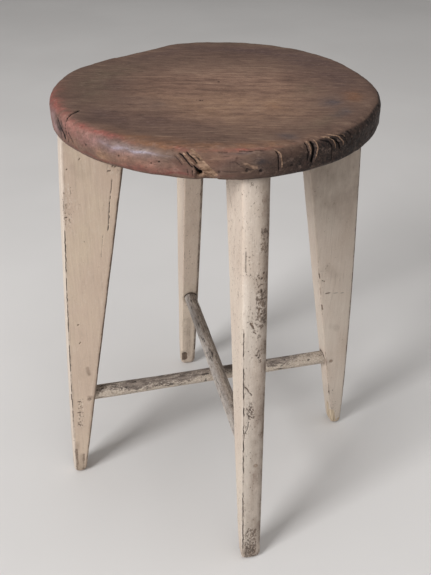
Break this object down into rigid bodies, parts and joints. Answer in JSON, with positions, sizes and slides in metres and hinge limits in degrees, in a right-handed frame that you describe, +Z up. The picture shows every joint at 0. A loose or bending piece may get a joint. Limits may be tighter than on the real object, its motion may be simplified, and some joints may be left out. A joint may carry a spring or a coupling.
{
  "type": "wooden stool",
  "caption": "Tall farmhouse stool: a round thick board seat on splayed tapered board legs, with two crossing round stretchers near the floor.",
  "frame": {"origin": "on the floor, in the middle of the stool's footprint", "axes": "+Z up, +X towards the right leg, -Y towards the front leg"},
  "size_m": [0.3532, 0.3671, 0.47],
  "materials": {
    "seat_wood": "worn, hand-polished dark brown",
    "painted_wood": "old cream paint, worn and crazed",
    "stretcher_wood": "paint worn through to grey-brown wood",
    "nail_iron": "dull rusted iron"
  },
  "bodies": {
    "root": {"seat_board": "seat_wood", "leg_front": "painted_wood", "leg_back": "painted_wood", "leg_left": "painted_wood", "leg_right": "painted_wood", "stretcher_side_to_side": "stretcher_wood", "stretcher_front_to_back": "stretcher_wood", "stretcher_nails": "nail_iron"}
  },
  "joints": []
}
